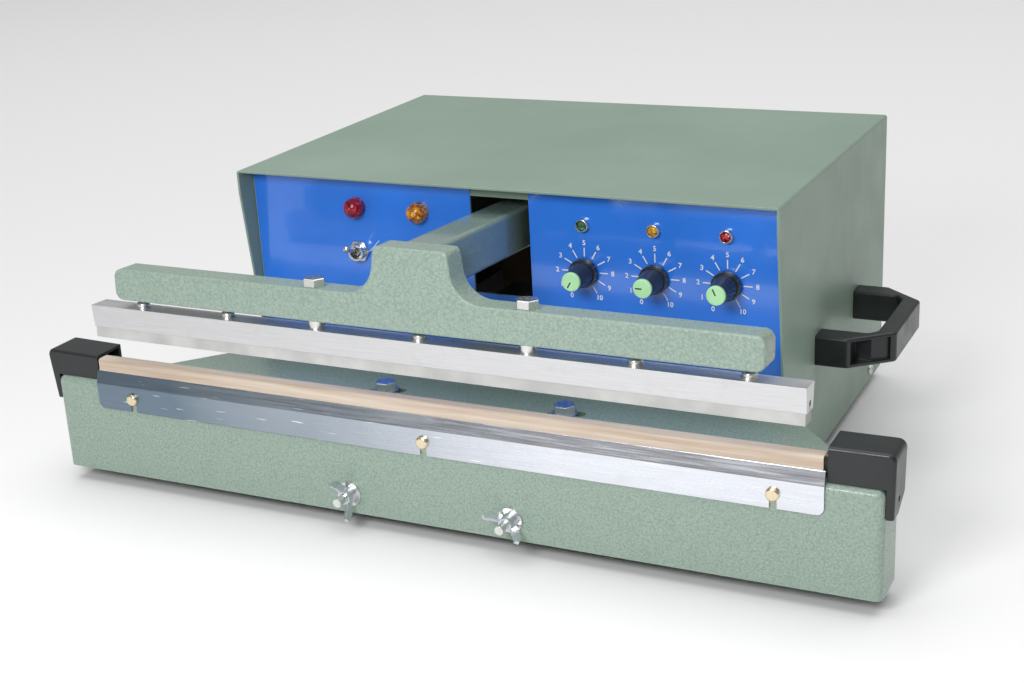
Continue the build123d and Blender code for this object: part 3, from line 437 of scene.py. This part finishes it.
iron_stack = layered("iron_stack", (0.16, 0.15, 0.15), "Y", 500, 0.00006, 0.5, 0.5)
copper_winding = layered("copper_winding", (0.55, 0.22, 0.08), "Z", 700, 0.0003, 0.3, 0.8)
print("iron and copper made")

# %% [markdown]
# ## Give every part its finish
#
# The table below says which finish each part of the metalwork gets. A part that is replaced
# further down is left out of it.

# %% Hand out the finishes
FINISHES = {
    cast_green: ["t_head"],
    arm_green_shaded: ["arm_tube"],
    sheet_green: ["jaw_frame", "jaw_shelf"],
    cover_green: ["housing_cover", "front_panel"],
    bar_aluminium: ["press_bar", "heater_bar"],
    strip_aluminium: ["front_clamp_strip"],
    plated_steel: [
        "head_bolts", "bar_screws", "handle_screws", "cover_screws",
        "table_studs", "toggle_nut", "toggle_lever", "toggle_body", "pivot_shaft", "arm_pin",
        "plunger",
    ],
    yellow_zinc: ["clamp_screws"],
    cast_zinc: ["left_wing_nut", "right_wing_nut", "shelf_bolts"],
    zinc_sheet: [
        "base_tray", "back_panel", "jaw_bracket", "pivot_bracket", "rear_clamp_strip",
        "potentiometers",
    ],
    brass: ["element_terminals", "pivot_bushes"],
    spring_steel: ["return_spring"],
    ribbon_alloy: ["heating_element"],
    black_moulding: [
        "left_end_cap", "right_end_cap", "side_handles", "power_inlet", "fuse_holder",
        "foot_switch_socket",
    ],
    knob_black: ["sealing_timer_knob", "cooling_timer_knob", "recycle_timer_knob"],
    pale_green: ["sealing_knob_cap", "cooling_knob_cap", "recycle_knob_cap"],
    black_rubber: ["rubber_feet", "stop_pad"],
    grey_silicone: ["rubber_strip"],
    green_board: ["control_board"],
    blue_film: ["control_overlay"],
    iron_stack: ["magnet_yoke", "transformer_core"],
    copper_winding: ["magnet_coil", "transformer_coil"],
}


def paint(piece, material):
    piece.data.materials.clear()
    piece.data.materials.append(material)


for finish, names in FINISHES.items():
    for name in names:
        paint(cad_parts[name], finish)
print("finishes handed out:", len(FINISHES))

# %% [markdown]
# ## Tools for new pieces
#
# New pieces are modelled as by hand: a primitive is added, shaped in edit mode and then turned
# into place. Operators work on what is selected, so a helper picks faces, edges or corners by a
# rule, and another lays the finished mesh down with its place in its vertices.


# %% Modelling helpers
def pick(obj, part, rule):
    """Selects the verts, edges or faces that fulfil the rule, in edit mode."""
    bpy.ops.mesh.select_all(action="DESELECT")
    bpy.ops.mesh.select_mode(type={"verts": "VERT", "edges": "EDGE", "faces": "FACE"}[part])
    mesh = bmesh.from_edit_mesh(obj.data)
    for item in getattr(mesh, part):
        if rule(item):
            item.select_set(True)
    mesh.select_flush_mode()
    bmesh.update_edit_mesh(obj.data)


def middle(item):
    """The middle of an edge or a face."""
    points = [v.co for v in item.verts]
    return sum(points, Vector()) / len(points)


def name_active(name):
    obj = bpy.context.active_object
    obj.name = name
    obj.data.name = name
    return obj


def settle(obj, matrix=None):
    """Puts the piece's place into its mesh, so that the object sits at the origin."""
    bpy.context.view_layer.update()
    obj.data.transform((matrix or Matrix()) @ obj.matrix_world)
    obj.matrix_world = Matrix()
    obj.data.update()
    return obj


def join(pieces, name):
    """Joins meshes into one piece."""
    bpy.ops.object.select_all(action="DESELECT")
    for piece in pieces:
        piece.select_set(True)
    bpy.context.view_layer.objects.active = pieces[0]
    if len(pieces) > 1:
        bpy.ops.object.join()
    joined = name_active(name)
    bpy.ops.object.select_all(action="DESELECT")
    return joined


def deliver(obj, material, body, smooth=None):
    """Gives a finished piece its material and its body."""
    paint(obj, material)
    if smooth is not None:
        bpy.ops.object.select_all(action="DESELECT")
        obj.select_set(True)
        bpy.context.view_layer.objects.active = obj
        bpy.ops.object.shade_smooth_by_angle(angle=math.radians(smooth))
        obj.select_set(False)
    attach(obj, body)
    print(obj.name, "has", len(obj.data.polygons), "faces")


def centre_of(name):
    low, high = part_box(name)
    return (low + high) / 2


# %% [markdown]
# ## Printed dials
#
# Each timer has a scale from 0 to 10 printed on the face sheet round its knob, thirty degrees to
# a step, with 5 at the top. Print is only a few hundredths of a millimetre thick, so it is made
# as very thin white pieces that stand on the sheet. A stroke is a flattened cube with rounded
# ends. The numbers are text objects turned into meshes. Everything is drawn lying flat at the
# origin and then stood up against the panel.

# %% Ink
white_ink = moulded("white_ink", (0.86, 0.88, 0.90), 0.50, 3000.0, 0.000004)
dark_ink = moulded("dark_ink", (0.030, 0.045, 0.035), 0.55, 3000.0, 0.000004)
FACE_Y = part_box("control_overlay")[0].y
INK = 0.06 * MM


# %% Strokes and numbers
def stroke(length, width, thick):
    """A flat bar with rounded ends, lying along X from the origin outwards."""
    bpy.ops.mesh.primitive_cube_add(size=1)
    bar = bpy.context.active_object
    bpy.ops.object.mode_set(mode="EDIT")
    bpy.ops.transform.resize(value=(length, width, thick), center_override=(0, 0, 0))
    bpy.ops.transform.translate(value=(length / 2, 0, 0))
    upright = lambda edge: abs(edge.verts[0].co.z - edge.verts[1].co.z) > thick / 2
    pick(bar, "edges", upright)
    bpy.ops.mesh.bevel(offset=width * 0.49, segments=3, affect="EDGES")
    bpy.ops.object.mode_set(mode="OBJECT")
    return bar


def number(text, height):
    """A number centred on the origin, lying flat, as a mesh."""
    bpy.ops.object.text_add()
    label = bpy.context.active_object
    label.data.body = text
    label.data.align_x = "CENTER"
    label.data.align_y = "CENTER"
    label.data.size = height * 1.4
    label.data.extrude = INK / 2
    label.data.offset = height * 0.035
    label.data.resolution_u = 3
    bpy.ops.object.convert(target="MESH")
    return bpy.context.active_object


def stand(x, y, z):
    """Stands a flat drawing up against a plane that faces the front, at a point."""
    return Matrix.Translation((x, y, z)) @ turn(90, "X")


# %% Dials
DIAL_STEPS = 11
STEP_DEGREES = 30
TICK_START = 10.6 * MM
TICK_LENGTH = 6.2 * MM
TICK_WIDTH = 0.80 * MM
NUMBER_RADIUS = 20.0 * MM
NUMBER_HEIGHT = 3.4 * MM


def dial(timer):
    """The ticks and numbers of one timer. Step 5 points up, and steps run clockwise."""
    centre = centre_of(timer + "_knob_cap")
    parts = []
    for step in range(DIAL_STEPS):
        angle = 90 - STEP_DEGREES * (step - 5)
        tick = stroke(TICK_LENGTH, TICK_WIDTH, INK)
        settle(tick, turn(angle, "Z") @ Matrix.Translation((TICK_START, 0, 0)))
        away = turn(angle, "Z") @ Vector((NUMBER_RADIUS, 0, 0))
        figure = settle(number(str(step), NUMBER_HEIGHT), Matrix.Translation(away))
        parts += [tick, figure]
    print_ = join(parts, timer + "_dial_print")
    settle(print_, stand(centre.x, FACE_Y - INK / 2, centre.z))
    deliver(print_, white_ink, "machine")


for timer in ("sealing", "cooling", "recycle"):
    dial(timer)

# %% Index line of the switch
SWITCH = centre_of("toggle_nut")
INDEX_LENGTH = 11.7 * MM
INDEX_WIDTH = 0.5 * MM
INDEX_ANGLE = 46
INDEX_START_X = SWITCH.x + 7.6 * MM
INDEX_START_Z = SWITCH.z - 0.1 * MM
index_line = stroke(INDEX_LENGTH, INDEX_WIDTH, INK)
settle(index_line, turn(INDEX_ANGLE, "Z"))
settle(index_line, stand(INDEX_START_X, FACE_Y - INK / 2, INDEX_START_Z))
name_active("switch_index_line")
deliver(index_line, white_ink, "machine")

# %% [markdown]
# ## Pointers on the knobs
#
# Each knob has a pale green cap with a short dark line, which shows the setting. The line rides
# with the knob, so that it turns round with it. The angles are the three settings.

# %% Knob pointers
SETTINGS = {"sealing": 4.2, "cooling": 2.0, "recycle": 0.0}
POINTER_LENGTH = 4.8 * MM
POINTER_WIDTH = 0.95 * MM
POINTER_THICK = 0.1 * MM
POINTER_RISE = 0.03 * MM
for timer, setting in SETTINGS.items():
    centre = centre_of(timer + "_knob_cap")
    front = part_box(timer + "_knob_cap")[0].y
    pointer = stroke(POINTER_LENGTH, POINTER_WIDTH, POINTER_THICK)
    settle(pointer, turn(90 - STEP_DEGREES * (setting - 5), "Z"))
    settle(pointer, stand(centre.x, front - POINTER_RISE, centre.z))
    name_active(timer + "_pointer")
    deliver(pointer, dark_ink, timer + "_timer")

# %% [markdown]
# ## Pilot lamps
#
# The red and amber lamps have a moulded lens with facets on the inside, which break the light of
# a small neon bulb into sparkles. A low dome of flat faces shows this better than a smooth one:
# a cylinder whose end is pulled up in rings, each turned by half a face. Inside the plastic there
# are many smaller facets, and these are left to the material: each cell of a Voronoi pattern
# leans its own way, and its colour runs from painted shade to painted glints of facets. The new
# lens replaces the plain one of the engineering model.


# %% Tinted lens finish
FACETS_PER_METRE = 480.0
FACET_LEAN = 1.1


def tinted(name, colour):
    """Coloured plastic. Each cell of the pattern leans its own way, and its tone runs from painted
    shade to a painted glint.
    """
    material, tree, shader = new_finish(name, colour, 0.08)
    inputs = {"Vector": place(tree), "Scale": FACETS_PER_METRE}
    facets = node(tree, "TexVoronoi", inputs).outputs
    # Per cell, the dark tone is painted shade of a facet and the pale tone is a painted glint.
    dark = [c * 0.35 for c in colour]
    pale = [min(1.0, c * 1.6 + 0.03) for c in colour]
    glint = node(tree, "SeparateColor", {"Color": facets["Color"]}).outputs["Red"]
    coloured = mix(tree, spread(tree, glint, 0.1, 0.7), dark, colour)
    coloured = mix(tree, spread(tree, glint, 0.80, 0.90), coloured, pale)
    lean = node(tree, "VectorMath", operation="SUBTRACT")
    tree.links.new(facets["Color"], lean.inputs[0])
    lean.inputs[1].default_value = (0.5, 0.5, 0.5)
    tilted = node(tree, "VectorMath", operation="MULTIPLY_ADD")
    tree.links.new(lean.outputs["Vector"], tilted.inputs[0])
    tilted.inputs[1].default_value = (FACET_LEAN,) * 3
    tree.links.new(node(tree, "NewGeometry").outputs["Normal"], tilted.inputs[2])
    straight = node(tree, "VectorMath", operation="NORMALIZE")
    tree.links.new(tilted.outputs["Vector"], straight.inputs[0])
    gloss = spread(tree, noise(tree, 400.0), 0.3, 0.7, 0.05, 0.16)
    finish_socket(tree, shader, colour=coloured, roughness=gloss, normal=straight.outputs["Vector"])
    shader.inputs["Coat Weight"].default_value = 0.35
    shader.inputs["Coat Roughness"].default_value = 0.03
    return material


red_lens = tinted("red_lens", (0.42, 0.003, 0.030))
amber_lens = tinted("amber_lens", (0.86, 0.29, 0.004))
green_lens = tinted("green_lens", (0.09, 0.26, 0.13))
yellow_lens = tinted("yellow_lens", (0.90, 0.42, 0.020))
print("lens finishes made")


# %% Pilot lamp lenses
LENS_SIDES = 16
BARREL_SHARE = 0.55
DOME_RINGS = ((0.16, 0.90), (0.14, 0.76), (0.10, 0.58), (0.048, 0.40))


def faceted_lens(name, node_name, material):
    """A barrel and a low dome of flat facets, standing out from the panel."""
    low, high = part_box(node_name)
    centre = (low + high) / 2
    radius = (high.x - low.x) / 2
    height = FACE_Y - low.y
    barrel = height * BARREL_SHARE
    bpy.ops.mesh.primitive_cylinder_add(
        vertices=LENS_SIDES, radius=radius, depth=barrel, end_fill_type="NGON"
    )
    lens = bpy.context.active_object
    bpy.ops.object.mode_set(mode="EDIT")
    bpy.ops.transform.translate(value=(0, 0, barrel / 2))
    pick(lens, "faces", lambda f: middle(f).z > barrel * 0.98)
    for rise, shrink in DOME_RINGS:
        bpy.ops.mesh.extrude_region_move(TRANSFORM_OT_translate={"value": (0, 0, height * rise)})
        bpy.ops.transform.resize(value=(shrink, shrink, 1), center_override=(0, 0, 0))
        bpy.ops.transform.rotate(
            value=math.pi / LENS_SIDES, orient_axis="Z", center_override=(0, 0, 0)
        )
    bpy.ops.mesh.poke()
    bpy.ops.object.mode_set(mode="OBJECT")
    settle(lens, stand(centre.x, FACE_Y, centre.z))
    name_active(name)
    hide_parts(node_name)
    deliver(lens, material, "machine")


faceted_lens("red_lamp_lens", "red_pilot_lamp", red_lens)
faceted_lens("amber_lamp_lens", "amber_pilot_lamp", amber_lens)

# %% [markdown]
# ## Indicator lamps
#
# Over each knob sits a small indicator lamp in a chromed ring. The ring is a short cylinder whose
# front face is inset and sunk, so that the lens has a seat, and whose rim is bevelled. The lens
# is a small sphere with few faces, pushed flat. One function models them, once for each timer.


# %% Indicator lamps
RIM_SHARE = 0.20
SEAT_DEPTH_SHARE = 0.6
RIM_BEVEL_SHARE = 0.12
RING_SIDES = 32


def indicator_ring(radius, height):
    bpy.ops.mesh.primitive_cylinder_add(vertices=RING_SIDES, radius=radius, depth=height)
    ring = bpy.context.active_object
    bpy.ops.object.mode_set(mode="EDIT")
    bpy.ops.transform.translate(value=(0, 0, height / 2))
    pick(ring, "faces", lambda f: middle(f).z > height * 0.99)
    bpy.ops.mesh.inset(thickness=radius * RIM_SHARE)
    sink = (0, 0, -height * SEAT_DEPTH_SHARE)
    bpy.ops.mesh.extrude_region_move(TRANSFORM_OT_translate={"value": sink})
    on_rim = lambda v: abs(v.co.z - height) < 1e-6 and math.hypot(v.co.x, v.co.y) > radius * 0.95
    pick(ring, "edges", lambda e: all(on_rim(v) for v in e.verts))
    bpy.ops.mesh.bevel(offset=radius * RIM_BEVEL_SHARE, segments=3, affect="EDGES")
    bpy.ops.object.mode_set(mode="OBJECT")
    return ring


def indicator_lens(radius, flatness):
    bpy.ops.mesh.primitive_uv_sphere_add(segments=14, ring_count=8, radius=radius)
    lens = bpy.context.active_object
    bpy.ops.object.mode_set(mode="EDIT")
    pick(lens, "faces", lambda f: True)
    bpy.ops.transform.resize(value=(1, 1, flatness), center_override=(0, 0, 0))
    bpy.ops.mesh.bisect(plane_co=(0, 0, 0), plane_no=(0, 0, 1), clear_inner=True, use_fill=True)
    bpy.ops.object.mode_set(mode="OBJECT")
    return lens


led_low, led_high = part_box("indicator_leds")
RING_RADIUS = (led_high.z - led_low.z) / 2
RING_HEIGHT = FACE_Y - led_low.y
LENS_SHARE = 0.80
LENS_FLATNESS = 0.60
LENS_SEAT_SHARE = 0.45
LAMP_Z = (led_high.z + led_low.z) / 2
LAMPS = {"recycle": green_lens, "cooling": yellow_lens, "sealing": red_lens}
rings = []
for timer, lens_finish in LAMPS.items():
    at = stand(centre_of(timer + "_knob_cap").x, FACE_Y, LAMP_Z)
    rings.append(settle(indicator_ring(RING_RADIUS, RING_HEIGHT), at))
    seat = at @ Matrix.Translation((0, 0, RING_HEIGHT * LENS_SEAT_SHARE))
    lens = settle(indicator_lens(RING_RADIUS * LENS_SHARE, LENS_FLATNESS), seat)
    lens.name = timer + "_indicator_lens"
    deliver(lens, lens_finish, "machine")
indicator_rings = join(rings, "indicator_rings")
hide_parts("indicator_leds")
deliver(indicator_rings, plated_steel, "machine", smooth=35)

# %% [markdown]
# ## Cloth over the heater
#
# A strip of glass cloth with a slippery brown coating is stretched over the hot ribbon. It is
# held by the bright strip in front and by another one behind. Stretched cloth follows its
# supports in straight runs and bends only over their edges, but the coating creases a little
# along the jaw. The sheet is drawn as a profile across the jaw, stretched out along it in many
# short steps, and then given shallow creases that run lengthwise.


# %% Coated cloth finish
CLOTH_PALE = (0.70, 0.60, 0.50)
CLOTH_DARK = (0.50, 0.385, 0.29)
CLOTH_STAIN = (0.54, 0.42, 0.32)


def coated_cloth(name):
    material, tree, shader = new_finish(name, CLOTH_PALE, 0.48)
    streaks = noise(tree, 240.0, 4.0, place(tree, (0.035, 1, 1)), 0.6)
    stains = noise(tree, 30.0, 5.0, place(tree, (0.25, 1, 1)))
    coloured = mix(tree, spread(tree, streaks, 0.34, 0.64), CLOTH_DARK, CLOTH_PALE)
    coloured = mix(tree, spread(tree, stains, 0.5, 0.75, 0.0, 0.5), coloured, CLOTH_STAIN)
    threads = []
    for way in ("X", "Y"):
        inputs = {"Vector": place(tree), "Scale": 2200 / 10 * math.pi, "Distortion": 0.3}
        threads.append(node(tree, "TexWave", inputs, bands_direction=way).outputs["Fac"])
    weave = both(tree, "MULTIPLY", threads[0], threads[1])
    creases = noise(tree, 120.0, 2.0, place(tree, (0.06, 1, 1)))
    normal = emboss(tree, weave, 0.00003, emboss(tree, creases, 0.0005))
    gloss = spread(tree, streaks, 0.3, 0.7, 0.38, 0.55)
    finish_socket(tree, shader, colour=coloured, roughness=gloss, normal=normal)
    shader.inputs["Sheen Weight"].default_value = 0.2
    return material


cloth_brown = coated_cloth("cloth_brown")
print("cloth finish:", cloth_brown.name)

# %% Stretch the cloth
bar_low, bar_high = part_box("heater_bar")
cloth_low, cloth_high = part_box("lower_cloth")
CLOTH_THICK = 0.18 * MM
CLOTH_LENGTH = cloth_high.x - cloth_low.x
CLOTH_STEPS = 172
BAR_GAP = 0.45 * MM
front_edge = bar_low.y - BAR_GAP
back_edge = bar_high.y + BAR_GAP
under_strip = cloth_low.y + 0.1 * MM
top = cloth_high.z - CLOTH_THICK
jaw_top = bar_low.z
CLOTH_LINE = [
    (under_strip, cloth_low.z),
    (under_strip, jaw_top - 4 * MM),
    (under_strip, jaw_top - 1.5 * MM),
    (under_strip + 1.0 * MM, jaw_top + 2 * MM),
    (front_edge - 0.8 * MM, jaw_top + 6.5 * MM),
    (front_edge, jaw_top + 10 * MM),
    (front_edge, top - 1.2 * MM),
    (front_edge + 0.9 * MM, top - 0.1 * MM),
    (front_edge + 3 * MM, top),
    (back_edge - 3 * MM, top),
    (back_edge - 0.9 * MM, top - 0.1 * MM),
    (back_edge, top - 1.2 * MM),
    (back_edge + 0.1 * MM, jaw_top + 6 * MM),
    (back_edge + 0.8 * MM, jaw_top + 0.9 * MM),
    (back_edge + 2.5 * MM, jaw_top + 0.25 * MM),
    (cloth_high.y, jaw_top + 0.25 * MM),
]


CREASE_DEPTH = 0.11 * MM
FRONT_RUN = (3, 6)
BACK_RUN = (11, 13)
ON_TOP = 8


def crease(x, run):
    """A shallow crease in a loose run: a few slow waves along the jaw."""
    wave = math.sin(x * 61 + run * 900) + 0.6 * math.sin(x * 143 + run * 500 + 1.3)
    return CREASE_DEPTH * wave


def cloth_mesh():
    mesh = bmesh.new()
    rows = []
    for step in range(CLOTH_STEPS + 1):
        x = cloth_low.x + CLOTH_LENGTH * step / CLOTH_STEPS
        row = []
        for spot, (y, z) in enumerate(CLOTH_LINE):
            loose = any(first <= spot <= last for first, last in (FRONT_RUN, BACK_RUN))
            out = abs(crease(x, z)) if loose else 0.0
            side = -1 if spot < ON_TOP else 1
            row.append(mesh.verts.new((x, y + side * out, z)))
        rows.append(row)
    for first, second in zip(rows, rows[1:]):
        for spot in range(len(CLOTH_LINE) - 1):
            mesh.faces.new((first[spot], second[spot], second[spot + 1], first[spot + 1]))
    data = bpy.data.meshes.new("heater_cloth")
    mesh.to_mesh(data)
    mesh.free()
    return data


cloth = bpy.data.objects.new("heater_cloth", cloth_mesh())
bpy.context.scene.collection.objects.link(cloth)
thickness = cloth.modifiers.new("thickness", "SOLIDIFY")
thickness.thickness = CLOTH_THICK
thickness.offset = 0
bpy.ops.object.select_all(action="DESELECT")
cloth.select_set(True)
bpy.context.view_layer.objects.active = cloth
bpy.ops.object.modifier_apply(modifier="thickness")
bpy.ops.object.mode_set(mode="EDIT")
bpy.ops.mesh.select_all(action="SELECT")
bpy.ops.mesh.normals_make_consistent(inside=False)
bpy.ops.object.mode_set(mode="OBJECT")
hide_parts("lower_cloth", "insulating_tape")
deliver(cloth, cloth_brown, "machine", smooth=60)

# %% [markdown]
# ## Studio
#
# A catalogue picture is lit by big soft boxes, on a wide sheet of pale paper. A lamp in front of
# the machine, near the middle, lights the jaw and the panel and falls off to both ends. A very
# large one overhead lights the top of the housing and the paper evenly. The pale world stands
# for the white room and fills the shadows.

# %% Floor and world
ROOM_LIGHT = 0.34
FLOOR_SIZE = 16
bpy.ops.mesh.primitive_plane_add(size=FLOOR_SIZE)
floor = name_active("floor")
paper, paper_tree, paper_shader = new_finish("paper", (0.90, 0.90, 0.90), 0.75)
fibres = spread(paper_tree, noise(paper_tree, 40.0), 0.3, 0.7, 0.70, 0.80)
finish_socket(paper_tree, paper_shader, roughness=fibres)
paint(floor, paper)

world = bpy.data.worlds.new("white_room")
world.use_nodes = True
world.node_tree.nodes["Background"].inputs["Color"].default_value = (1, 1, 1, 1)
world.node_tree.nodes["Background"].inputs["Strength"].default_value = ROOM_LIGHT
bpy.context.scene.world = world
bpy.context.scene.view_settings.view_transform = "Standard"
print("floor and world ready")


# %% Soft boxes
def soft_box(name, position, aim, width, height, power):
    """A rectangular lamp at a place, turned to look at a point."""
    bpy.ops.object.light_add(type="AREA", location=position)
    lamp = name_active(name)
    lamp.data.shape = "RECTANGLE"
    lamp.data.size = width
    lamp.data.size_y = height
    lamp.data.energy = power
    away = Vector(aim) - Vector(position)
    lamp.rotation_euler = away.to_track_quat("-Z", "Y").to_euler()


JAW_MIDDLE = (0, 0, 0.1)
FRONT_WATTS = 5.0
OVERHEAD_WATTS = 175
soft_box("front_box", (0.06, -0.95, 0.62), JAW_MIDDLE, 0.35, 0.25, FRONT_WATTS)
soft_box("overhead_box", (0.0, 0.6, 4.5), (0, 0.6, 0), 6.0, 6.0, OVERHEAD_WATTS)

# %% [markdown]
# ## Sizes and the last check
# The view layer is brought up to date.
# The finished machine must be as large as its metalwork.

bpy.context.view_layer.update()
